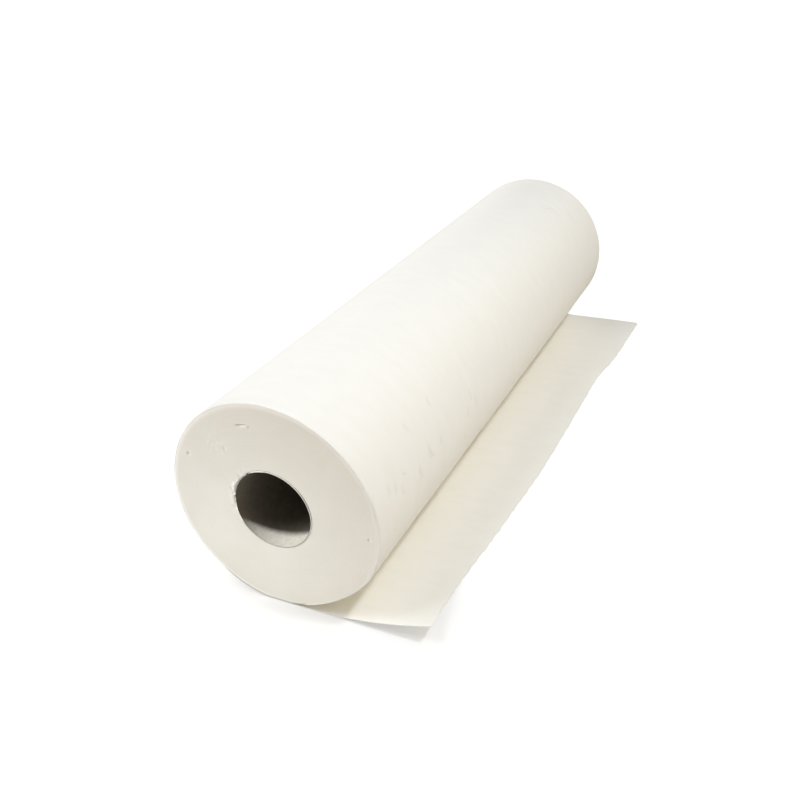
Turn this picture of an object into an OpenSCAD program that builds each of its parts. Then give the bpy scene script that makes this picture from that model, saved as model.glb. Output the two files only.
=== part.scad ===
// Examination couch roll: a two-ply paper web wound on a cardboard core, lying on its side.
// The last turn leaves under the roll and lies on the table as far as its torn perforation.
// Millimetres. +Y runs along the core, the loose end runs out along +X, and +Z is up.
// The origin is on the table, under the middle of the core.

/* [Paper] */
// Width of the web, which is the length of the roll
roll_l = 500; // [300:10:700]
// Diameter across the last turn
roll_d = 141; // [110:1:180]
// Thickness of the two-ply web
web_t = 0.26; // [0.2:0.02:0.4]
// Width of the flat spot that the soft roll presses under its own weight
flat_w = 24; // [16:1:30]

/* [Core] */
// Bore of the cardboard core
core_bore_d = 51; // [38:0.5:60]
// Wall of the cardboard core
core_wall = 1.2; // [0.8:0.1:2]

/* [Turns on the ends] */
// Radial width of a band of turns that was wound in line
band_w = 2.6; // [1.6:0.1:5]
// Depth of the lowest band below the end of the roll
band_step = 0.5; // [0.2:0.1:1]

/* [Loose end] */
// Reach of the torn edge from under the core, at the near end
tail_near = 94.5; // [80:0.5:120]
// Reach of the torn edge from under the core, at the far end
tail_far = 110.5; // [80:0.5:130]
// How far the torn near corner runs out past the line of the torn edge
flare = 6; // [0:0.5:10]
// Length of that flare along the torn edge
flare_l = 55; // [30:1:100]
// Height of the slow waves in the torn edge
torn_wave = 0.8; // [0:0.1:2]
// Length of one such wave
torn_wave_l = 140; // [80:5:240]

/* [Lifted corner] */
// Where the lift starts along the near edge, past the flat spot
curl_start = 2; // [1:0.5:20]
// How far the lift reaches along the torn edge
curl_l = 56; // [30:1:90]
// Radius that the lifted corner curls to
curl_r = 86; // [60:1:120]

/* [Perforation] */
// Spacing of the torn tags
tag_pitch = 12.5; // [6:0.5:25]
// Width of a tag at its root
tag_w = 1.8; // [0.8:0.1:3]
// Length of a tag
tag_l = 0.9; // [0.4:0.1:2]

/* [Hidden] */
$fn = 96;
// How far a cut runs past the face that it opens
overrun = 1;
roll_r = roll_d / 2;
core_d = core_bore_d + 2 * core_wall;
core_r = core_d / 2;
axis_z = sqrt(pow(roll_r, 2) - pow(flat_w / 2, 2));
// Bands of turns between a plain band at the core and one at the last turn
band_r = core_r + band_w;
band_n = floor((roll_r - band_w - band_r) / band_w);
shallow_share = 0.3;
band_turn = 137.5;
// The torn edge, with its tags spread evenly
tag_n = floor(roll_l / tag_pitch);
tag_gap = roll_l / tag_n;
tag_tip_share = 0.6;
// The lifted corner bends up past a straight line across the sheet, and stays far below the top of its curl
curl_x = flat_w / 2 + curl_start;
curl_turn = atan2(curl_l, torn_x(curl_l) - curl_x);
curl_out = [sin(curl_turn), -cos(curl_turn)];
curl_top_share = 0.5;
near_steps = 14;
sheet_reach = roll_l + tail_near + tail_far;
deg_per_rad = 180 / PI;

// Flat outline of the loose end: x from under the core, y from the near edge
function flared(y) = y < flare_l ? flare * pow(1 - y / flare_l, 2) : 0;
function torn_x(y) =
    tail_near + (tail_far - tail_near) * y / roll_l + flared(y) + torn_wave * sin(360 * y / torn_wave_l);
function tag(y) = [
    [torn_x(y), y - tag_w / 2],
    [torn_x(y) + tag_l, y - tag_w / 2 * tag_tip_share],
    [torn_x(y) + tag_l, y + tag_w / 2 * tag_tip_share],
    [torn_x(y), y + tag_w / 2]
];
function near_x(i) = curl_x + (torn_x(0) - curl_x) * i / near_steps;
function sheet_outline() = concat(
    [[0, 0]],
    [for (i = [0 : near_steps]) [near_x(i), 0]],
    [for (i = [0 : tag_n - 1], p = tag((i + 1 / 2) * tag_gap)) p],
    [[torn_x(roll_l), roll_l], [0, roll_l]]
);

// A point of the flat sheet, as seen from above once its corner is bent up without stretching
function past_bend(p) = (p - [curl_x, 0]) * curl_out;
function bent(p) =
    let (d = past_bend(p))
    d > 0 ? p - curl_out * (d - curl_r * sin(d / curl_r * deg_per_rad)) : p;

// Half a turn of the web about a centre at height z, cut off at the table
module half_turn(side, r, z) {
    intersection() {
        translate([0, z]) circle(r = r);
        translate([side > 0 ? 0 : -roll_d, 0]) square([roll_d, roll_d]);
    }
}

// Two half turns about centres half a web apart wind inwards by one web a turn, as the paper does
module winding() {
    difference() {
        union() {
            half_turn(-1, roll_r, axis_z);
            half_turn(1, roll_r - web_t / 2, axis_z + web_t / 2);
        }
        translate([0, axis_z]) circle(d = core_d);
    }
}

function band_depth(i) = band_step * (shallow_share + (1 - shallow_share) * abs(sin(i * band_turn)));

// Steps between bands of turns that wandered sideways on the winder, as one ring to cut from an end
module end_bands() {
    steps = [
        for (i = [0 : band_n - 1], edge = [0, 1])
            [band_r + (i + edge) * band_w, -band_depth(i)]
    ];
    rotate_extrude() {
        polygon(concat([[band_r, overrun]], steps, [[band_r + band_n * band_w, overrun]]));
    }
}

// Section across the bend: flat on the table, then curling up
module sheet_section() {
    translate([-sheet_reach, 0]) square([sheet_reach, web_t]);
    intersection() {
        translate([0, curl_r]) {
            difference() {
                circle(r = curl_r);
                circle(r = curl_r - web_t);
            }
        }
        square([curl_r, curl_r * curl_top_share]);
    }
}

module loose_end() {
    translate([0, -roll_l / 2, 0]) {
        intersection() {
            translate([0, 0, -overrun]) {
                linear_extrude(height = curl_r + overrun) polygon([for (p = sheet_outline()) bent(p)]);
            }
            translate([curl_x, 0, 0]) {
                rotate([90, 0, curl_turn - 90]) {
                    linear_extrude(height = 2 * sheet_reach, center = true) sheet_section();
                }
            }
        }
    }
}

module paper_roll() {
    color("ivory") {
        difference() {
            union() {
                rotate([90, 0, 0]) linear_extrude(height = roll_l, center = true) winding();
                loose_end();
            }
            for (side = [-1, 1]) {
                translate([0, side * roll_l / 2, axis_z]) rotate([-side * 90, 0, 0]) end_bands();
            }
        }
    }
}

module core_tube() {
    color("tan") {
        translate([0, 0, axis_z]) {
            rotate([90, 0, 0]) {
                difference() {
                    cylinder(d = core_d, h = roll_l, center = true);
                    cylinder(d = core_bore_d, h = roll_l + 2 * overrun, center = true);
                }
            }
        }
    }
}

paper_roll();
core_tube();
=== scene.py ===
"""An examination couch roll: creped paper wound on a spiral board core.

The loose end of its last turn lies out flat, with its near corner bent up.
"""
import math

import bmesh
import bpy
import numpy as np
from mathutils import Matrix, Vector, noise


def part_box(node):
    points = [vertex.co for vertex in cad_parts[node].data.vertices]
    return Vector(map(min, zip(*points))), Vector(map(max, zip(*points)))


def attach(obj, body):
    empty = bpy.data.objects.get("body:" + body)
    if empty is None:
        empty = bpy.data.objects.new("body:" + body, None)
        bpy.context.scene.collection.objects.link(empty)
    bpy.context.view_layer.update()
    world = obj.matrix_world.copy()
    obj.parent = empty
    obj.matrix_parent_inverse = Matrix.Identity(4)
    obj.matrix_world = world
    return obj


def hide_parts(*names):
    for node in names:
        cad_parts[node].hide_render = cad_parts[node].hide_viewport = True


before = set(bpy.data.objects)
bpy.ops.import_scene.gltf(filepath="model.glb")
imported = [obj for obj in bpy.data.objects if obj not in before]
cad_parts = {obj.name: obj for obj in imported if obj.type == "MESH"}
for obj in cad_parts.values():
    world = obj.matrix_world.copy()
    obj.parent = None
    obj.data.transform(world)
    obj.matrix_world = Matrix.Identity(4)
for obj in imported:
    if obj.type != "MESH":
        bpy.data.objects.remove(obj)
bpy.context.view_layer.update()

# Sizes of the roll, in metres, from the solids
MM = 0.001
paper_low, paper_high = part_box("paper_roll")
core_low, core_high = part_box("core_tube")
NEAR_Y = paper_low.y
FAR_Y = paper_high.y
ROLL_L = FAR_Y - NEAR_Y
ROLL_R = -paper_low.x
AXIS_Z = (core_low.z + core_high.z) / 2
CORE_R = core_high.x
CORE_T = 1.2 * MM
BORE_R = CORE_R - CORE_T

# The paper: its thickness, and the slack between the last turn and the one under it
WEB_T = 0.26 * MM
SLACK = 0.08 * MM

# The roll rests on a flat spot, and its round sags a little beside that spot
FLAT_HALF = math.sqrt(ROLL_R ** 2 - AXIS_Z ** 2)
SAG = 2.4 * MM
SAG_AT = math.radians(-62)
SAG_SPAN = math.radians(42)

# How deep under the axis, in radii, the floor starts to hold the turns, and how much deeper it has them
HELD_FROM = 0.7
HELD_SPAN = 0.25

# The roll's edge is soft: at the two ends its outer turns dip and stand back, unevenly
RIM_W = 2.4 * MM
RIM_DROP = 0.55 * MM
RIM_BACK = 0.35 * MM
RIM_STEPS = 4
RIM_UNEVEN = 0.4
RIM_UNEVEN_L = 15 * MM

# Painted shade along the edge where the floor presses it, from the side away from the loose end to the
# flat spot
PRESSED_SHADE_W = 1.3 * MM
PRESSED_SHADE_FROM = math.radians(-130)
PRESSED_SHADE_TO = math.radians(-74)
PRESSED_SHADE_SPAN = math.radians(6)

# The loose end's torn edge, in mm: distance from the near end, and reach from the roll's middle
TORN_LINE = (
    (0, 101),
    (12, 98.5),
    (45, 95.5),
    (115, 99.5),
    (205, 104.5),
    (325, 105.5),
    (365, 106),
    (405, 110.5),
    (430, 112),
    (500, 114),
)
TORN_AT, TORN_REACH = np.array(TORN_LINE).T * MM
TORN_SLOPE = np.gradient(TORN_REACH, TORN_AT)

# What the tearing left along that edge, and how near to its line the torn points lie
TAG_PITCH = 12.5 * MM
TAG_W = 1.8 * MM
TAG_L = 0.9 * MM
TEAR = 0.35 * MM
TEAR_L = 1.2 * MM
RIP = 0.7 * MM
RIP_L = 5 * MM
FAR_ROUND = 5 * MM
FAR_CUT = 1.6 * MM
TORN_BAND = 0.2 * MM

# The bend of the loose end's near corner, and its cockles where it lies free
CURL_X = FLAT_HALF
CURL_L = 90 * MM
CURL_R = 156 * MM
COCKLE = 0.7 * MM
COCKLE_OUT_L = 42 * MM
COCKLE_ALONG_L = 55 * MM
COCKLE_FROM = 45 * MM
COCKLE_SPAN = 50 * MM

# The last turn: its hidden start, and the spans in which it gets free of that start and of the floor
WEB_START = math.radians(-77)
START_SPAN = math.radians(12)
FLOOR_SPAN = math.radians(25)

# Slow swells of the soft winding: height, length round the roll, length along it, slice of the noise
SWELLS = (
    (0.16 * MM, 60 * MM, 45 * MM, 2),
    (0.07 * MM, 22 * MM, 11 * MM, 6),
)

# The turns' cut ends: bands of turns that stand a little proud of each other, slow waves and fine lint
BAND_MIN = 0.35 * MM
BAND_MAX = 0.85 * MM
BAND_STEP = 0.05 * MM
BAND_SEED = 7
END_WAVE = 0.22 * MM
END_WAVE_L = 26 * MM
END_BACK = 0.6
LINT_L = 2.4 * MM

# Fineness of the meshes
TURN_SEGMENTS = 320
ROW_STEP = 3.4 * MM
SEEN_FROM = math.radians(-36)
SEEN_TO = math.radians(134)
SEEN_STEP = math.radians(2)
HIDDEN_STEP = math.radians(5.5)
TAIL_STEPS = 36
TORN_CUTS = 6
CREASE_CUTS = 4
MARK_CUTS = 3
CORE_SEGMENTS = 256
ARC_POINTS = 4001
SHARP_EDGE = math.radians(40)
ONE_PLACE = 1e-6

# How far a face points along the axis to count as part of an end: a plain, a banded and a rough one
PLAIN_END = 0.99
BANDED_END = 0.9
ROUGH_END = 0.6

# Short creases in the last turn: distance from the near end in mm, angle up from the level,
# length in mm, slant, depth in mm
CREASES = (
    (75, 9.5, 11, 30, 0.44),
    (58, 6, 9, 15, 0.45),
    (39, 14.5, 5, 50, 0.3),
    (33, 9, 8, 5, 0.34),
    (26, 13, 7, -10, 0.34),
    (19.5, 15.5, 6, 5, 0.28),
    (145, 13.5, 8, 5, 0.3),
    (137, 6.5, 7, 0, 0.3),
    (151.5, 8, 8, 5, 0.3),
    (93, 31, 7, -5, 0.25),
    (59.5, 31, 6, 10, 0.25),
    (91, 9.5, 6, -5, 0.25),
    (431, 62.5, 14, 40, 0.42),
    (440, 59, 9, 20, 0.4),
    (448, 58, 10, 15, 0.45),
    (452.5, 49.5, 9, 5, 0.45),
    (456, 41.5, 10, 0, 0.42),
    (431, 48, 8, -10, 0.32),
)

# A crease's width and bow, how far it moves the paper along it and beside it, and its fold's width
CREASE_W = 0.95 * MM
CREASE_BOW = 0.05 / MM
CREASE_REACH = 1.7
CREASE_SIDE = 5 * CREASE_W
FOLD_W = 0.6 * MM
DEEPEST = max(crease[-1] for crease in CREASES)

# A slit in the near end and its lip, placed from the axis along +X and +Z, and the room for finer faces
SLIT_AT = (-14 * MM, 55.3 * MM)
SLIT_LEAN = math.radians(12)
SLIT_HALF_L = 3.8 * MM
SLIT_HALF_W = 0.42 * MM
SLIT_DEPTH = 2.2 * MM
SLIT_ROOM = 1.6 * SLIT_HALF_L
LIP_ALONG = 2.6 * MM
LIP_UNDER = 0.7 * MM
LIP_HALF_L = 3 * MM
LIP_ABOVE = 0.4 * MM
LIP_BELOW = 1.1 * MM
LIP_RISE = 0.9 * MM
LIP_ROOM = 3 * LIP_BELOW

# Pits in the near end: place along +X and +Z, radius, depth; and the radii of room for finer faces
PITS = (
    (-55.5 * MM, 27 * MM, 1.1 * MM, 1.1 * MM),
    (63.5 * MM, -4 * MM, 0.9 * MM, 0.6 * MM),
    (-28 * MM, 36.5 * MM, 1.1 * MM, 0.6 * MM),
)
PIT_ROOM = 3

# A scuff on the near end, and the rough paper by the core: heights, and how frayed they are
SCUFF_AT = (-34.5 * MM, 40 * MM)
SCUFF_R = 9 * MM
SCUFF = 0.3 * MM
SCUFF_FRAY = 0.75
BY_CORE = 1.15 * MM
BY_CORE_FRAY = 0.8

# The core: its inner ply is a strip wound on a helix, and its cut edge is rough on one side
LINER_T = 0.35 * MM
LINER_PITCH = 78 * MM
LINER_GAP = 0.8 * MM
SEAM_AT = math.radians(-122)
ROUGH_AT = math.radians(154)
ROUGH_SPAN = math.radians(58)
ROUGH_RAMP = 1.5
ROUGH = 1.4 * MM
ROUGH_L = 1.8 * MM
ROUGH_W = 5 * MM
NOTCH_AT = math.radians(123.6)
NOTCH_HALF_W = 1.1 * MM
NOTCH_DEPTH = 2 * MM
CORE_GROOVE = 0.35 * MM

# The camera that took the photograph
CAMERA_AT = Vector((0.2596, -0.5969, 0.3684))
CAMERA_AZIMUTH = math.radians(-26.41)
CAMERA_TILT = math.radians(28.317)
CAMERA_ROLL = math.radians(-2.837)
FRAME_PX = 800
FOCAL_PX = 881.4
SENSOR_MM = 36
NEAREST_SEEN = 10 * MM

# The floor, the shadow on it under the lifted corner, the even light and where the near lamps aim
FLOOR_W = 12
FLOOR_DROP = 0.05 * MM
SHADOW_AT = (0.055, -0.262, 0)
WORLD_LIGHT = 0.04
NEAR_AIM = Vector((0.03, -0.15, 0.05))


# Shape of the roll
def smooth(a):
    """A soft step from 0 to 1."""
    t = np.clip(a, 0, 1)
    return t * t * (3 - 2 * t)


def noise_at(x, y, z):
    """Soft random values from -1 to 1, one unit to a wave. Each use reads its own slice."""
    return np.array([noise.noise(Vector(place)) for place in zip(*np.broadcast_arrays(x, y, z))])


def outline(turn):
    """Outer radius of the roll at an angle about its axis, 0 along +X and a quarter turn along +Z."""
    from_sag = (turn - SAG_AT + math.pi) % (2 * math.pi) - math.pi
    sag = SAG * np.cos(np.clip(from_sag / SAG_SPAN, -1, 1) * math.pi / 2) ** 2
    # Anything less than half way down is out of the floor's reach
    down = np.maximum(-np.sin(turn), 0.5)
    return np.minimum(ROLL_R - sag, AXIS_Z / down)


def rim_dip(y, turn):
    """How far the roll's edge dips, at a distance y from the near end and an angle."""
    end_gap = np.minimum(y, ROLL_L - y)
    dip = RIM_DROP * np.clip(1 - end_gap / RIM_W, 0, 1) ** 2
    around = ROLL_R / RIM_UNEVEN_L
    uneven = noise_at(np.cos(turn) * around, np.sin(turn) * around, np.where(y < ROLL_L / 2, 3, 7))
    return dip * (1 + RIM_UNEVEN * uneven) * off_floor(turn)


def rim_back(end_gap, turn):
    """How far the roll's edge stands back, at a distance from the nearer end of the roll's side."""
    return RIM_BACK * np.clip(1 - end_gap / RIM_W, 0, 1) ** 2 * off_floor(turn)


def off_floor(turn):
    """From 0 where the roll's weight presses its turns on the floor to 1 where they are free."""
    return 1 - smooth((-np.sin(turn) - HELD_FROM) / HELD_SPAN)


def pressed_shade_share(depth, turn):
    """How much painted shade the roll's edge gets where the floor presses it, from 0 to 1, at a depth
    under its side.
    """
    after = smooth((turn - PRESSED_SHADE_FROM) / PRESSED_SHADE_SPAN)
    before = smooth((PRESSED_SHADE_TO - turn) / PRESSED_SHADE_SPAN)
    return after * before * (1 - smooth(depth / PRESSED_SHADE_W))


def torn_x(y):
    """How far the torn edge lies from the roll's middle, at a distance y from the near end."""
    i = np.clip(np.searchsorted(TORN_AT, y) - 1, 0, len(TORN_AT) - 2)
    width = TORN_AT[i + 1] - TORN_AT[i]
    t = (y - TORN_AT[i]) / width
    from_low = (1 - t) ** 2 * ((1 + 2 * t) * TORN_REACH[i] + t * width * TORN_SLOPE[i])
    from_high = t ** 2 * ((3 - 2 * t) * TORN_REACH[i + 1] - (1 - t) * width * TORN_SLOPE[i + 1])
    rounded = FAR_CUT * np.clip(1 - (ROLL_L - y) / FAR_ROUND, 0, 1) ** 2
    return from_low + from_high - rounded


def tear(y):
    """What the tearing left along the perforation: short tags, and a ragged line between them."""
    count = math.floor(ROLL_L / TAG_PITCH)
    gap = ROLL_L / count
    off = np.abs((y / gap) % 1 - 0.5) * gap
    tag = TAG_L * np.clip((TAG_W / 2 - off) / (TAG_W / 4), 0, 1)
    return tag + TEAR * noise_at(y / TEAR_L, 3.1, 0) + RIP * noise_at(y / RIP_L, 8.4, 0)


# Modelling helpers
def start_alone():
    """Leaves nothing selected, so that the next operator acts on the new piece alone."""
    bpy.ops.object.select_all(action="DESELECT")


def take(piece):
    """Selects the piece alone, and makes it the one that operators act on."""
    start_alone()
    piece.select_set(True)
    bpy.context.view_layer.objects.active = piece


def pick(piece, kind, wanted):
    """In edit mode, selects the piece's faces or edges that wanted accepts, and nothing else."""
    bpy.ops.mesh.select_mode(type="FACE" if kind == "faces" else "EDGE")
    bpy.ops.mesh.select_all(action="DESELECT")
    bm = bmesh.from_edit_mesh(piece.data)
    for part in getattr(bm, kind):
        if wanted(part):
            part.select_set(True)
    bmesh.update_edit_mesh(piece.data)


def points_of(piece):
    """The piece's points, one row each."""
    flat = np.empty(len(piece.data.vertices) * 3, np.float32)
    piece.data.vertices.foreach_get("co", flat)
    return flat.reshape(-1, 3).astype(float)


def move_points(piece, points):
    """Moves the piece's points to new places."""
    piece.data.vertices.foreach_set("co", points.astype(np.float32).ravel())
    piece.data.update()


def note_share(piece, name, shares):
    """Keeps a share from 0 to 1 at each of the piece's points, for its material to read."""
    kept = piece.data.attributes.new(name, "FLOAT", "POINT")
    kept.data.foreach_set("value", shares.astype(np.float32))


def apply_modifier(piece, kind, **settings):
    """Adds a modifier to the piece and applies it."""
    take(piece)
    modifier = piece.modifiers.new(kind.lower(), kind)
    for name, value in settings.items():
        setattr(modifier, name, value)
    bpy.ops.object.modifier_apply(modifier=modifier.name)


def shade(piece):
    """Shades the piece smooth, apart from its sharp edges."""
    take(piece)
    bpy.ops.object.shade_smooth_by_angle(angle=SHARP_EDGE)


def lying_cylinder(name, radius, segments):
    """A cylinder as long as the roll, on the roll's axis."""
    start_alone()
    bpy.ops.mesh.primitive_cylinder_add(
        vertices=segments,
        radius=radius,
        depth=ROLL_L,
        location=(0, 0, AXIS_Z),
        rotation=(math.pi / 2, 0, 0),
    )
    bpy.ops.object.transform_apply(location=True, rotation=True, scale=True)
    piece = bpy.context.object
    piece.name = piece.data.name = name
    return piece


# The wound turns
def make_wound_turns():
    """All the turns but the last: a cylinder whose ends are inset band by band down to the core."""
    rng = np.random.default_rng(BAND_SEED)
    full_r = ROLL_R - WEB_T - SLACK
    roll = lying_cylinder("wound_turns", full_r, TURN_SEGMENTS)
    bpy.ops.object.mode_set(mode="EDIT")

    for step in range(1, RIM_STEPS + 1):
        for end_y, way in ((NEAR_Y, 1), (FAR_Y, -1)):
            bpy.ops.mesh.select_all(action="SELECT")
            cut_y = end_y + way * RIM_W * step / RIM_STEPS
            bpy.ops.mesh.bisect(plane_co=(0, cut_y, 0), plane_no=(0, 1, 0))

    for side in (-1, 1):
        pick(roll, "faces", lambda f: f.normal.y * side > PLAIN_END and len(f.verts) == TURN_SEGMENTS)
        left = full_r - CORE_R
        level = 0
        while left > BAND_MAX + BAND_MIN:
            width = rng.uniform(BAND_MIN, BAND_MAX)
            new_level = -rng.uniform(0, BAND_STEP)
            bpy.ops.mesh.inset(thickness=width, depth=new_level - level, use_even_offset=True)
            level = new_level
            left -= width
        bpy.ops.mesh.inset(thickness=left, depth=0, use_even_offset=True)

    pick(roll, "faces", lambda f: abs(f.normal.y) > PLAIN_END and len(f.verts) == TURN_SEGMENTS)
    bpy.ops.mesh.bridge_edge_loops()

    def by_mark(face):
        middle = face.calc_center_median()
        x = middle.x
        z = middle.z - AXIS_Z
        by_slit = abs(x - SLIT_AT[0]) < SLIT_ROOM and abs(z - SLIT_AT[1]) < LIP_ROOM
        by_pit = any(
            math.hypot(x - pit_x, z - pit_z) < PIT_ROOM * pit_r
            for pit_x, pit_z, pit_r, depth in PITS
        )
        by_scuff = math.hypot(x - SCUFF_AT[0], z - SCUFF_AT[1]) < SCUFF_R
        return face.normal.y < -BANDED_END and (by_slit or by_pit or by_scuff)

    pick(roll, "faces", by_mark)
    bpy.ops.mesh.subdivide(number_cuts=MARK_CUTS)
    bpy.ops.object.mode_set(mode="OBJECT")

    points = points_of(roll)
    x = points[:, 0]
    z = points[:, 2] - AXIS_Z
    radius = np.hypot(x, z)
    turn = np.arctan2(z, x)
    share = np.clip((radius - CORE_R) / (full_r - CORE_R), 0, 1)
    under_web = outline(turn) - rim_dip(points[:, 1] - NEAR_Y, turn) - WEB_T - SLACK
    settled = CORE_R + share * (under_web - CORE_R)
    points[:, 0] = settled * np.cos(turn)
    points[:, 2] = AXIS_Z + settled * np.sin(turn)
    end_gap = ROLL_L / 2 - np.abs(points[:, 1])
    at_end = end_gap < RIM_W / RIM_STEPS / 2
    inward = np.where(at_end, rim_back(full_r - radius, turn), rim_back(end_gap, turn))
    stands_out, fray_and_highlight = uneven_end(x, z, radius, turn, points[:, 1])
    inward -= np.where(at_end, stands_out, 0)
    points[:, 1] -= inward * np.sign(points[:, 1])
    move_points(roll, points)
    # Paler ends: frayed fibres, and a painted highlight on the slit's lip
    note_share(roll, "fray_and_highlight", np.where(at_end, fray_and_highlight, 0))
    # Painted shade on the edge where the floor presses it
    note_share(roll, "pressed_shade", np.where(at_end, pressed_shade_share(full_r - radius, turn), 0))
    shade(roll)
    return roll


def uneven_end(x, z, radius, turn, y):
    """How far each point of the roll's ends stands out, and from 0 to 1 how much paler it is drawn: for
    frayed fibres, and a painted highlight on the slit's lip.

    Both ends have slow waves, and the near end its slit, pits, scuff and rough side by the core.
    """
    near = y < 0
    wave = noise_at(x / END_WAVE_L, z / END_WAVE_L, np.where(near, 5, 9))
    fine = noise_at(x / LINT_L, z / LINT_L, np.where(near, 15, 19))
    out = END_WAVE * (wave - END_BACK)

    right = x - SLIT_AT[0]
    above = z - SLIT_AT[1]
    along = right * math.cos(SLIT_LEAN) + above * math.sin(SLIT_LEAN)
    across = above * math.cos(SLIT_LEAN) - right * math.sin(SLIT_LEAN)
    lens = np.sqrt(np.clip(1 - (along / SLIT_HALF_L) ** 2, 0, 1))
    groove = np.clip(lens - np.abs(across) / SLIT_HALF_W, 0, 1)
    off_lip = across + LIP_UNDER
    lip = np.sqrt(np.clip(1 - ((along - LIP_ALONG) / LIP_HALF_L) ** 2, 0, 1))
    lip *= np.exp(-(off_lip / np.where(off_lip > 0, LIP_ABOVE, LIP_BELOW)) ** 2)
    marks = LIP_RISE * lip - SLIT_DEPTH * groove

    for pit_x, pit_z, pit_r, depth in PITS:
        off = np.hypot(x - pit_x, z - pit_z) / pit_r
        marks -= depth * np.exp(-off ** 2)

    off = np.hypot(x - SCUFF_AT[0], z - SCUFF_AT[1]) / SCUFF_R
    scuffed = fine * np.exp(-off ** 2)
    by_core = np.clip(1 - (radius - CORE_R) / ROUGH_W, 0, 1)
    rough = by_core * rough_share(turn)
    marks += SCUFF * scuffed + BY_CORE * rough * fine
    # The slit's lip gets a painted highlight; the scuff and the rough paper by the core are paler for
    # their frayed fibres
    fray_and_highlight = lip + SCUFF_FRAY * np.maximum(scuffed, 0) + BY_CORE_FRAY * rough * (0.5 + fine)
    fray_and_highlight = np.clip(fray_and_highlight, 0, 1)
    set_back = np.where(radius < CORE_R + CORE_GROOVE / 2, CORE_GROOVE, 0)
    return out + np.where(near, marks, 0) - set_back, np.where(near, fray_and_highlight, 0)


def rough_share(turn):
    """How rough the core's mouth is at an angle about the axis, from 0 to 1."""
    off = (turn - ROUGH_AT + math.pi) % (2 * math.pi) - math.pi
    return smooth(ROUGH_RAMP - ROUGH_RAMP * np.abs(off) / ROUGH_SPAN)


# The last turn and the loose end, one sheet
def sheet_rows():
    """Places across the web for the sheet's rows, closer at its two edges."""
    stretches = (
        (0, RIM_W, RIM_W / RIM_STEPS),
        (RIM_W, ROLL_L - RIM_W, ROW_STEP),
        (ROLL_L - RIM_W, ROLL_L, RIM_W / RIM_STEPS),
    )
    rows = [
        np.linspace(low, high, round((high - low) / step), endpoint=False)
        for low, high, step in stretches
    ]
    return np.append(np.concatenate(rows), ROLL_L)


def make_last_turn():
    """The web's last turn: laid out flat, torn along its perforation, wound on and laid down."""
    lies_at = 2 * math.pi - math.pi / 2 - math.asin(FLAT_HALF / ROLL_R)
    turns = np.concatenate([
        np.arange(WEB_START, SEEN_FROM, HIDDEN_STEP),
        np.arange(SEEN_FROM, SEEN_TO, SEEN_STEP),
        np.arange(SEEN_TO, lies_at - HIDDEN_STEP / 2, HIDDEN_STEP),
        [lies_at],
    ])

    # Arc length of the outline from the sheet's hidden start
    fine_turns = np.linspace(WEB_START, lies_at, ARC_POINTS)
    radii = outline(fine_turns)
    path_x = radii * np.cos(fine_turns)
    path_z = radii * np.sin(fine_turns)
    arc = np.concatenate([[0], np.cumsum(np.hypot(np.diff(path_x), np.diff(path_z)))])
    wound_l = arc[-1]

    # The flat web: columns along its length, rows across it
    y = sheet_rows()
    rows = len(y)
    reach = torn_x(y) + FLAT_HALF
    columns = [np.full(rows, s) for s in np.interp(turns, fine_turns, arc)]
    columns += [wound_l + reach * (i / TAIL_STEPS) for i in range(1, TAIL_STEPS + 1)]
    flat = np.array([np.column_stack([c, y, np.zeros(rows)]) for c in columns])
    corners = [i * rows + j for i in range(len(columns) - 1) for j in range(rows - 1)]
    faces = [(c, c + 1, c + rows + 1, c + rows) for c in corners]
    mesh = bpy.data.meshes.new("last_turn")
    mesh.from_pydata(flat.reshape(-1, 3).tolist(), [], faces)
    web = bpy.data.objects.new("last_turn", mesh)
    bpy.context.scene.collection.objects.link(web)

    # Finer faces by the creases, and along the torn edge
    middles = np.empty(len(mesh.polygons) * 3, np.float32)
    mesh.polygons.foreach_get("center", middles)
    middle_s, middle_y = middles.reshape(-1, 3).astype(float).T[:2]
    creased = by_any_crease(middle_y, np.interp(middle_s, arc, fine_turns))
    take(web)
    bpy.ops.object.mode_set(mode="EDIT")
    pick(web, "faces", lambda f: creased[f.index])
    bpy.ops.mesh.subdivide(number_cuts=CREASE_CUTS)

    def torn(edge):
        if not edge.is_boundary:
            return False
        off = [v.co.x - wound_l - FLAT_HALF - torn_x(v.co.y) for v in edge.verts]
        return max(map(abs, off)) < ONE_PLACE

    pick(web, "edges", torn)
    bpy.ops.mesh.subdivide(number_cuts=TORN_CUTS)
    bpy.ops.object.mode_set(mode="OBJECT")
    points = points_of(web)
    edge = points[:, 0] > wound_l + FLAT_HALF + torn_x(points[:, 1]) - TORN_BAND
    points[edge, 0] += tear(points[edge, 1])

    # The pattern follows the flat web
    uv = mesh.uv_layers.new(name="web")
    at_loops = np.array([loop.vertex_index for loop in mesh.loops])
    uv.data.foreach_set("uv", points[at_loops, :2].astype(np.float32).ravel())

    # Wound on the roll, and laid down
    s = points[:, 0]
    y = points[:, 1]
    turn = np.interp(s, arc, fine_turns)
    free = smooth((lies_at - turn) / FLOOR_SPAN) * smooth((turn - WEB_START) / START_SPAN)
    radius = outline(turn) + (surface_swell(s, y, turn) - rim_dip(y, turn)) * free
    inward = rim_back(y, turn) - rim_back(ROLL_L - y, turn)
    across = NEAR_Y + y + inward * free
    wound = np.column_stack([radius * np.cos(turn), across, AXIS_Z + radius * np.sin(turn)])
    laid = laid_down(s - wound_l - FLAT_HALF, y)
    points = np.where((s <= wound_l)[:, None], wound, laid)
    points[:, 2] = np.maximum(points[:, 2], 0)
    move_points(web, points)
    note_share(web, "fold", np.where(s <= wound_l, fold_share(y, turn), 0))
    apply_modifier(web, "SOLIDIFY", thickness=WEB_T, offset=-1)
    shade(web)
    area = float(np.trapz(reach + wound_l, sheet_rows()))
    return web, wound_l + float(reach.max()), area


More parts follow.
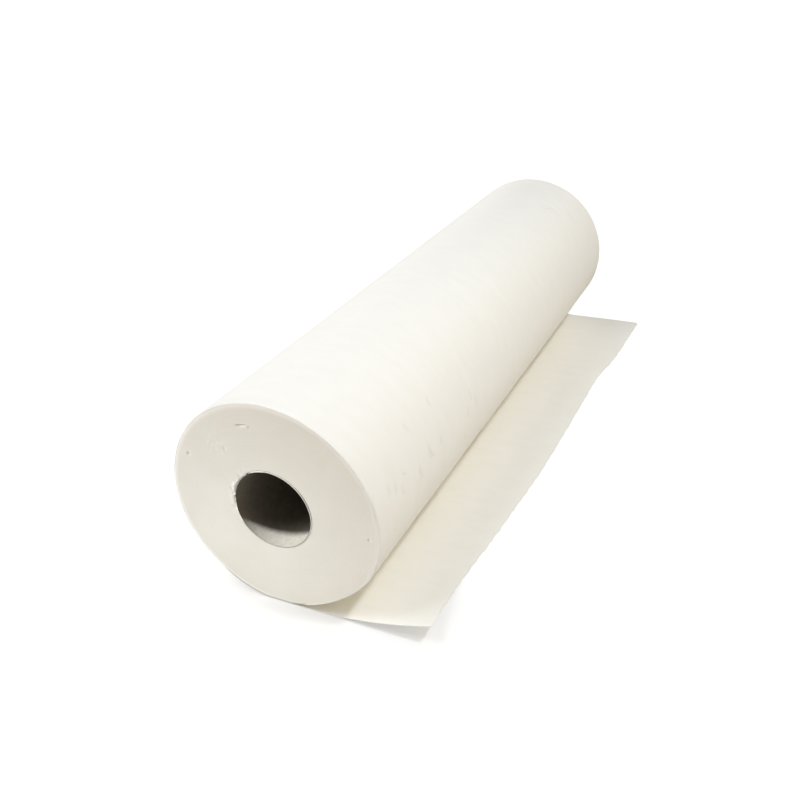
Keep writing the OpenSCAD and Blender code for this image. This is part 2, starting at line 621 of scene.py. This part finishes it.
def surface_swell(s, y, turn):
    """How far the last turn stands off the round: by slow swells, and by short creases."""
    swell = np.zeros(len(s))
    for height, round_l, along_l, noise_slice in SWELLS:
        swell += height * noise_at(s / round_l, y / along_l, noise_slice)
    for crease in CREASES:
        along, off = by_crease(crease, y, turn)
        ridge = np.exp(-((off + CREASE_W) / CREASE_W) ** 2)
        valley = np.exp(-(off / CREASE_W) ** 2)
        swell += crease[-1] * MM * np.exp(-along ** 4) * (ridge - valley)
    return swell


def by_crease(crease, y, turn):
    """How far each point lies along a crease, in half lengths from its middle, and beside it."""
    away, angle, length, slant, depth = crease
    lean = math.radians(slant)
    around = (turn - math.radians(angle)) * ROLL_R
    across = y - away * MM
    along = around * math.cos(lean) - across * math.sin(lean)
    off = around * math.sin(lean) + across * math.cos(lean)
    return along / (length / 2 * MM), off - CREASE_BOW * along ** 2


def by_any_crease(y, turn):
    """Which points lie so near to a crease that it moves them."""
    near = np.zeros(len(y), bool)
    for crease in CREASES:
        along, off = by_crease(crease, y, turn)
        near |= (np.abs(along) < CREASE_REACH) & (np.abs(off) < CREASE_SIDE)
    return near


def fold_share(y, turn):
    """How deep in a crease's fold each point lies, from 0 to 1."""
    share = np.zeros(len(y))
    for crease in CREASES:
        along, off = by_crease(crease, y, turn)
        depth = crease[-1] / DEEPEST
        share = np.maximum(share, depth * np.exp(-along ** 4 - (off / FOLD_W) ** 2))
    return share


def laid_down(x, y):
    """Where a point of the loose end lies that is x from the roll's middle and y from its near end."""
    turn = math.atan2(CURL_L, float(torn_x(CURL_L)) - CURL_X)
    out = np.array([math.sin(turn), -math.cos(turn)])
    past = np.maximum((x - CURL_X) * out[0] + y * out[1], 0)
    short = past - CURL_R * np.sin(past / CURL_R)
    lift = CURL_R * (1 - np.cos(past / CURL_R))
    lies_free = smooth((x - COCKLE_FROM) / COCKLE_SPAN)
    cockle = 0.5 + 0.5 * noise_at(x / COCKLE_OUT_L, y / COCKLE_ALONG_L, 11)
    height = lift + COCKLE * lies_free * cockle
    return np.column_stack([x - out[0] * short, NEAR_Y + y - out[1] * short, height])


# The core
def make_core():
    """The board tube: a wall, and an inner ply wound on a helix whose edges don't quite meet."""
    tube = lying_cylinder("core_wall", CORE_R, CORE_SEGMENTS)
    bpy.ops.object.mode_set(mode="EDIT")
    pick(tube, "faces", lambda f: abs(f.normal.y) > PLAIN_END)
    wall_t = CORE_R - BORE_R - LINER_T
    bpy.ops.mesh.inset(thickness=wall_t, use_even_offset=True, use_individual=True)
    bpy.ops.mesh.bridge_edge_loops()
    bpy.ops.object.mode_set(mode="OBJECT")

    # A line across the ply, a pitch long less the gap, is screwed round the axis past both ends
    start_alone()
    turns = math.ceil(ROLL_L / LINER_PITCH) + 2
    bpy.ops.mesh.primitive_plane_add(size=1)
    strip = bpy.context.object
    strip.name = strip.data.name = "core_liner"
    bpy.ops.object.mode_set(mode="EDIT")
    bpy.ops.mesh.select_all(action="SELECT")
    bpy.ops.transform.resize(value=(0, LINER_PITCH - LINER_GAP, 1))
    bpy.ops.mesh.remove_doubles(threshold=ONE_PLACE)
    bpy.ops.mesh.delete(type="ONLY_FACE")
    first_y = NEAR_Y - LINER_PITCH
    bpy.ops.transform.translate(value=(BORE_R + LINER_T, first_y, 0))
    bpy.ops.object.mode_set(mode="OBJECT")
    apply_modifier(
        strip,
        "SCREW",
        axis="Y",
        angle=2 * math.pi,
        screw_offset=LINER_PITCH,
        iterations=turns,
        steps=CORE_SEGMENTS,
        render_steps=CORE_SEGMENTS,
    )
    bpy.ops.transform.rotate(value=math.pi - SEAM_AT, orient_axis="Y", center_override=(0, 0, 0))
    bpy.ops.transform.translate(value=(0, 0, AXIS_Z))
    bpy.ops.object.transform_apply(location=True, rotation=True, scale=True)
    bpy.ops.object.mode_set(mode="EDIT")
    for end_y, side in ((NEAR_Y, -1), (FAR_Y, 1)):
        bpy.ops.mesh.select_all(action="SELECT")
        bpy.ops.mesh.bisect(plane_co=(0, end_y, 0), plane_no=(0, side, 0), clear_outer=True)
    bpy.ops.object.mode_set(mode="OBJECT")
    apply_modifier(strip, "SOLIDIFY", thickness=LINER_T, offset=-1)

    take(tube)
    strip.select_set(True)
    bpy.ops.object.join()
    tube.name = tube.data.name = "core"

    # The near mouth's cut edge: ragged on one side, with one notch
    points = points_of(tube)
    x = points[:, 0]
    z = points[:, 2] - AXIS_Z
    turn = np.arctan2(z, x)
    ragged = 0.5 + 0.5 * noise_at(x / ROUGH_L, z / ROUGH_L, 21)
    off = np.abs(turn - NOTCH_AT) * BORE_R
    notch = NOTCH_DEPTH * np.clip(1 - off / NOTCH_HALF_W, 0, 1)
    at_mouth = points[:, 1] < NEAR_Y + WEB_T
    points[:, 1] += np.where(at_mouth, ROUGH * ragged * rough_share(turn) + notch, 0)
    move_points(tube, points)
    shade(tube)
    return tube


# Materials
def colour(code):
    """A linear colour from an sRGB hex code."""
    channels = [int(code[i:i + 2], 16) / 255 for i in (1, 3, 5)]
    linear = [c / 12.92 if c <= 0.04045 else ((c + 0.055) / 1.055) ** 2.4 for c in channels]
    return (*linear, 1)


def add(tree, kind, settings=None, values=None, links=None):
    """Adds a node with its settings, its sockets' values and the links into its sockets."""
    node = tree.nodes.new(kind)
    for name, value in (settings or {}).items():
        setattr(node, name, value)
    for name, value in (values or {}).items():
        node.inputs[name].default_value = value
    for name, source in (links or {}).items():
        tree.links.new(source, node.inputs[name])
    return node


def start_material(name):
    """A new material, with its node tree and its shader."""
    material = bpy.data.materials.new(name)
    material.use_nodes = True
    tree = material.node_tree
    return material, tree, tree.nodes["Principled BSDF"]


def creped_paper():
    """Creped two-ply tissue, unglazed: matt and warm white, with fine crepe and soft cockles."""
    material, tree, shader = start_material("creped two-ply tissue")
    place = add(tree, "ShaderNodeTexCoord")
    # The crepe's folds are about half a millimetre apart, and drawn at 1.6 mm so that they show
    crepe_way = add(
        tree, "ShaderNodeMapping", {"vector_type": "POINT"},
        {"Scale": (1 / (1.6 * MM), 1 / (9 * MM), 1)}, {"Vector": place.outputs["UV"]},
    )
    crepe = add(
        tree, "ShaderNodeTexNoise", None,
        {"Scale": 1, "Detail": 3, "Roughness": 0.6}, {"Vector": crepe_way.outputs["Vector"]},
    )
    cockle_way = add(
        tree, "ShaderNodeMapping", {"vector_type": "POINT"},
        {"Scale": (1 / (22 * MM), 1 / (8 * MM), 1)}, {"Vector": place.outputs["UV"]},
    )
    cockle = add(
        tree, "ShaderNodeTexNoise", None,
        {"Scale": 1, "Detail": 2, "Roughness": 0.5}, {"Vector": cockle_way.outputs["Vector"]},
    )
    tone = add(
        tree, "ShaderNodeMix", {"data_type": "RGBA"},
        {"A": colour("#F2EDE0"), "B": colour("#F7F3E8")}, {"Factor": cockle.outputs["Fac"]},
    )
    soft = add(
        tree, "ShaderNodeBump", None,
        {"Strength": 0.22, "Distance": 0.5 * MM}, {"Height": cockle.outputs["Fac"]},
    )
    folds = add(
        tree, "ShaderNodeBump", None,
        {"Strength": 0.3, "Distance": 0.3 * MM},
        {"Height": crepe.outputs["Fac"], "Normal": soft.outputs["Normal"]},
    )
    # In a sharp fold the paper shades itself, and the mesh is too coarse for that, so it is darker
    fold = add(tree, "ShaderNodeAttribute", {"attribute_name": "fold"})
    shaded = add(
        tree, "ShaderNodeMath", {"operation": "MULTIPLY"}, {1: 0.32}, {0: fold.outputs["Fac"]},
    )
    folded = add(
        tree, "ShaderNodeMix", {"data_type": "RGBA"},
        {"B": colour("#A89F90")}, {"A": tone.outputs["Result"], "Factor": shaded.outputs["Value"]},
    )
    shader.inputs["Roughness"].default_value = 0.92
    shader.inputs["Specular IOR Level"].default_value = 0.2
    tree.links.new(folded.outputs["Result"], shader.inputs["Base Color"])
    tree.links.new(folds.outputs["Normal"], shader.inputs["Normal"])
    return material


def slit_paper_edge():
    """The turns' slit edges, packed tight: matt beige, darker than the sheet, with faint rings."""
    material, tree, shader = start_material("slit tissue edges")
    place = add(tree, "ShaderNodeTexCoord")
    from_axis = add(
        tree, "ShaderNodeMapping", {"vector_type": "POINT"},
        {"Location": (0, 0, -AXIS_Z)}, {"Vector": place.outputs["Object"]},
    )
    across = add(
        tree, "ShaderNodeVectorMath", {"operation": "MULTIPLY"},
        {1: (1, 0, 1)}, {0: from_axis.outputs["Vector"]},
    )
    radius = add(
        tree, "ShaderNodeVectorMath", {"operation": "LENGTH"}, None, {0: across.outputs["Vector"]},
    )
    # A turn is 0.26 mm thick; the rings are drawn 1.3 mm wide so that they show
    rings = add(
        tree, "ShaderNodeTexNoise", {"noise_dimensions": "1D"},
        {"Scale": 1 / (1.3 * MM), "Detail": 2, "Roughness": 0.6}, {"W": radius.outputs["Value"]},
    )
    lint = add(
        tree, "ShaderNodeTexNoise", None,
        {"Scale": 1 / (1.4 * MM), "Detail": 4, "Roughness": 0.65},
        {"Vector": from_axis.outputs["Vector"]},
    )
    patches = add(
        tree, "ShaderNodeTexNoise", None,
        {"Scale": 1 / (24 * MM), "Detail": 2, "Roughness": 0.5},
        {"Vector": from_axis.outputs["Vector"]},
    )
    tone = add(
        tree, "ShaderNodeMix", {"data_type": "RGBA"},
        {"A": colour("#EEE3D2"), "B": colour("#F4EBDC")}, {"Factor": patches.outputs["Fac"]},
    )
    ringed = add(
        tree, "ShaderNodeMix", {"data_type": "RGBA", "blend_type": "MULTIPLY"},
        {"Factor": 0.04}, {"A": tone.outputs["Result"], "B": rings.outputs["Fac"]},
    )
    ring_bump = add(
        tree, "ShaderNodeBump", None,
        {"Strength": 0.08, "Distance": 0.2 * MM}, {"Height": rings.outputs["Fac"]},
    )
    lint_bump = add(
        tree, "ShaderNodeBump", None,
        {"Strength": 0.45, "Distance": 0.3 * MM},
        {"Height": lint.outputs["Fac"], "Normal": ring_bump.outputs["Normal"]},
    )
    # Paler where fibres fray, in the scuff and by the core, and a painted highlight on the slit's lip
    # and along the outermost turns
    rim_highlight = add(
        tree, "ShaderNodeMapRange", {"interpolation_type": "SMOOTHSTEP"},
        {"From Min": ROLL_R - 4 * MM, "From Max": ROLL_R - 1 * MM, "To Min": 0, "To Max": 0.9},
        {"Value": radius.outputs["Value"]},
    )
    fray_and_highlight_node = add(tree, "ShaderNodeAttribute", {"attribute_name": "fray_and_highlight"})
    paler_share = add(
        tree, "ShaderNodeMath", {"operation": "MAXIMUM"}, None,
        {0: rim_highlight.outputs["Result"], 1: fray_and_highlight_node.outputs["Fac"]},
    )
    rimmed = add(
        tree, "ShaderNodeMix", {"data_type": "RGBA"},
        {"B": colour("#FFF6EA")}, {"A": ringed.outputs["Result"], "Factor": paler_share.outputs["Value"]},
    )
    # The edge that the floor presses is in its own shade
    pressed_shade = add(tree, "ShaderNodeAttribute", {"attribute_name": "pressed_shade"})
    greyed = add(
        tree, "ShaderNodeMix", {"data_type": "RGBA"},
        {"B": colour("#ADA69C")}, {"A": rimmed.outputs["Result"], "Factor": pressed_shade.outputs["Fac"]},
    )
    shader.inputs["Roughness"].default_value = 0.96
    shader.inputs["Specular IOR Level"].default_value = 0.15
    tree.links.new(greyed.outputs["Result"], shader.inputs["Base Color"])
    tree.links.new(lint_bump.outputs["Normal"], shader.inputs["Normal"])
    return material


def core_board():
    """Spiral-wound grey board from waste paper: matt, and flecked with fibres."""
    material, tree, shader = start_material("spiral-wound grey board")
    place = add(tree, "ShaderNodeTexCoord")
    fibre_way = add(
        tree, "ShaderNodeMapping", {"vector_type": "POINT"},
        {"Scale": (1 / (1.2 * MM), 1 / (4 * MM), 1 / (1.2 * MM))},
        {"Vector": place.outputs["Object"]},
    )
    fibres = add(
        tree, "ShaderNodeTexNoise", None,
        {"Scale": 1, "Detail": 4, "Roughness": 0.6}, {"Vector": fibre_way.outputs["Vector"]},
    )
    tone = add(
        tree, "ShaderNodeMix", {"data_type": "RGBA"},
        {"A": colour("#6A6157"), "B": colour("#928A7D")}, {"Factor": fibres.outputs["Fac"]},
    )
    bump = add(
        tree, "ShaderNodeBump", None,
        {"Strength": 0.25, "Distance": 0.2 * MM}, {"Height": fibres.outputs["Fac"]},
    )
    shader.inputs["Roughness"].default_value = 0.88
    shader.inputs["Specular IOR Level"].default_value = 0.25
    tree.links.new(tone.outputs["Result"], shader.inputs["Base Color"])
    tree.links.new(bump.outputs["Normal"], shader.inputs["Normal"])
    return material


def cut_board():
    """The board's sawn end: its open fibres scatter more light, so it is paler than its face."""
    material, tree, shader = start_material("sawn grey board")
    place = add(tree, "ShaderNodeTexCoord")
    fibres = add(
        tree, "ShaderNodeTexNoise", None,
        {"Scale": 1 / (0.8 * MM), "Detail": 3, "Roughness": 0.6},
        {"Vector": place.outputs["Object"]},
    )
    tone = add(
        tree, "ShaderNodeMix", {"data_type": "RGBA"},
        {"A": colour("#B6ADA0"), "B": colour("#D2CABE")}, {"Factor": fibres.outputs["Fac"]},
    )
    shader.inputs["Roughness"].default_value = 0.95
    shader.inputs["Specular IOR Level"].default_value = 0.15
    tree.links.new(tone.outputs["Result"], shader.inputs["Base Color"])
    return material


def finish_faces(piece, number, wanted):
    """Gives the piece's faces that wanted accepts its finish of that number."""
    take(piece)
    bpy.ops.object.mode_set(mode="EDIT")
    pick(piece, "faces", wanted)
    piece.active_material_index = number
    bpy.ops.object.material_slot_assign()
    bpy.ops.object.mode_set(mode="OBJECT")


# Camera, floor and light
def set_camera():
    """A camera where the photograph was taken from."""
    look = Vector((
        math.sin(CAMERA_AZIMUTH) * math.cos(CAMERA_TILT),
        math.cos(CAMERA_AZIMUTH) * math.cos(CAMERA_TILT),
        -math.sin(CAMERA_TILT),
    ))
    right = Vector((math.cos(CAMERA_AZIMUTH), -math.sin(CAMERA_AZIMUTH), 0))
    up = right.cross(look)
    along = right * math.cos(CAMERA_ROLL) + up * math.sin(CAMERA_ROLL)
    above = up * math.cos(CAMERA_ROLL) - right * math.sin(CAMERA_ROLL)
    turned = Matrix((along, above, -look)).transposed().to_4x4()
    lens = bpy.data.cameras.new("camera")
    lens.sensor_width = SENSOR_MM
    lens.lens = SENSOR_MM * FOCAL_PX / FRAME_PX
    lens.clip_start = NEAREST_SEEN
    camera = bpy.data.objects.new("camera", lens)
    camera.matrix_world = Matrix.Translation(CAMERA_AT) @ turned
    bpy.context.scene.collection.objects.link(camera)
    bpy.context.scene.camera = camera


def seen_share(tree):
    """1 for what the camera sees, straight, mirrored or through glass, and 0 for the light itself."""
    path = add(tree, "ShaderNodeLightPath")
    mirrored = add(
        tree, "ShaderNodeMath", {"operation": "MAXIMUM"}, None,
        {0: path.outputs["Is Camera Ray"], 1: path.outputs["Is Glossy Ray"]},
    )
    seen = add(
        tree, "ShaderNodeMath", {"operation": "MAXIMUM"}, None,
        {0: mirrored.outputs["Value"], 1: path.outputs["Is Transmission Ray"]},
    )
    return seen.outputs["Value"]


def lay_floor():
    """A wide pale floor that shows white where nothing shades it, and keeps the shadows."""
    start_alone()
    bpy.ops.mesh.primitive_plane_add(size=FLOOR_W, location=(0, 0, -FLOOR_DROP))
    floor = bpy.context.object
    floor.name = floor.data.name = "floor"
    material, tree, shader = start_material("matt pale floor")
    shader.inputs["Base Color"].default_value = colour("#C7C4BE")
    shader.inputs["Roughness"].default_value = 1
    shader.inputs["Specular IOR Level"].default_value = 0
    place = add(tree, "ShaderNodeTexCoord")
    away = add(
        tree, "ShaderNodeVectorMath", {"operation": "DISTANCE"},
        {1: SHADOW_AT}, {0: place.outputs["Object"]},
    )
    # How white it shows by itself, by the distance from the shadow: least there, and all white far off
    near_lift = add(
        tree, "ShaderNodeMapRange", {"interpolation_type": "SMOOTHSTEP"},
        {"From Min": 0.035, "From Max": 0.13, "To Min": 0.4, "To Max": 0.72},
        {"Value": away.outputs["Value"]},
    )
    far_lift = add(
        tree, "ShaderNodeMapRange", {"interpolation_type": "SMOOTHSTEP"},
        {"From Min": 0.3, "From Max": 1.2, "To Min": 0, "To Max": 1},
        {"Value": away.outputs["Value"]},
    )
    white = add(
        tree, "ShaderNodeMath", {"operation": "MAXIMUM"}, None,
        {0: near_lift.outputs["Result"], 1: far_lift.outputs["Result"]},
    )
    lift = add(
        tree, "ShaderNodeMath", {"operation": "MULTIPLY"}, None,
        {0: seen_share(tree), 1: white.outputs["Value"]},
    )
    shader.inputs["Emission Color"].default_value = colour("#FFFFFF")
    tree.links.new(lift.outputs["Value"], shader.inputs["Emission Strength"])
    floor.data.materials.append(material)


def light_world():
    """A dim even light all round, in front of a background that shows white."""
    world = bpy.data.worlds.new("studio")
    bpy.context.scene.world = world
    world.use_nodes = True
    tree = world.node_tree
    strength = add(
        tree, "ShaderNodeMapRange", None,
        {"To Min": WORLD_LIGHT, "To Max": 1}, {"Value": seen_share(tree)},
    )
    background = tree.nodes["Background"]
    background.inputs["Color"].default_value = colour("#FFFFFF")
    tree.links.new(strength.outputs["Result"], background.inputs["Strength"])


def hang_lamp(name, kind, place, way, tint):
    """A lamp of a tint at a place, turned to shine from the given way."""
    lamp = bpy.data.lights.new(name, kind)
    lamp.color = colour(tint)[:3]
    holder = bpy.data.objects.new(name, lamp)
    holder.location = place
    holder.rotation_mode = "QUATERNION"
    holder.rotation_quaternion = Vector(way).to_track_quat("Z", "Y")
    holder.visible_camera = False
    bpy.context.scene.collection.objects.link(holder)
    return lamp


def add_far_lamp(name, way, level, spread, tint="#FFFFFF"):
    """A distant soft lamp: the way to it, how white it lights a white sheet, its width in degrees."""
    lamp = hang_lamp(name, "SUN", (0, 0, 1), way, tint)
    lamp.energy = math.pi * level
    lamp.angle = math.radians(spread)


def add_near_lamp(name, place, level, width, tint="#FFFFFF"):
    """A round soft box near the roll, aimed at its near end, with its level there."""
    way = Vector(place) - NEAR_AIM
    lamp = hang_lamp(name, "AREA", place, way, tint)
    lamp.shape = "DISK"
    lamp.size = width
    lamp.energy = math.pi ** 2 * way.length_squared * level


def light_mouth(way, level, spread, tint, piece):
    """A distant lamp held to one piece, as by a screen with a hole in it: it reaches no other."""
    add_far_lamp("mouth", way, level, spread, tint)
    lit = bpy.data.collections.new("lit through the screen")
    lit.objects.link(piece)
    bpy.data.objects["mouth"].light_linking.receiver_collection = lit


bpy.context.scene.view_settings.view_transform = "Standard"
set_camera()
lay_floor()
light_world()
add_near_lamp("left", (-0.47, -0.56, 1.18), 0.412, 0.7, "#EFF4FF")
add_near_lamp("main", (0.63, -0.14, 1.1), 0.45, 0.12, "#EEF5FF")
add_near_lamp("right", (1.0, -0.35, 0.45), 0.072, 0.5, "#FFEBCC")
add_near_lamp("low", (-0.045, -0.41, 0.025), 0.138, 0.06, "#D8ECFF")
add_far_lamp("right_fill", (0.9, 0.25, 0.35), 0.28, 60, "#FFF7EA")
add_far_lamp("front_fill", (-0.7, -0.7, 0.12), 0.572, 40, "#FFFDF8")
add_far_lamp("back", (0.3, 0.42, 0.86), 0.155, 40, "#E4EEFF")
add_far_lamp("far_fill", (-0.35, 0.93, 0), 0.8, 12)

paper = creped_paper()
edges = slit_paper_edge()
board = core_board()

wound_turns = make_wound_turns()
wound_turns.data.materials.append(edges)
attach(wound_turns, "root")
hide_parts("paper_roll")

last_turn, web_l, web_area = make_last_turn()
last_turn.data.materials.append(paper)
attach(last_turn, "root")
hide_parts("paper_roll")

core = make_core()
core.data.materials.clear()
core.data.materials.append(board)
core.data.materials.append(cut_board())
finish_faces(core, 1, lambda f: abs(f.normal.y) > ROUGH_END)
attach(core, "root")
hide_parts("core_tube")
light_mouth((-0.38, -0.25, 0.9), 3.3, 8, "#EBF8FF", core)
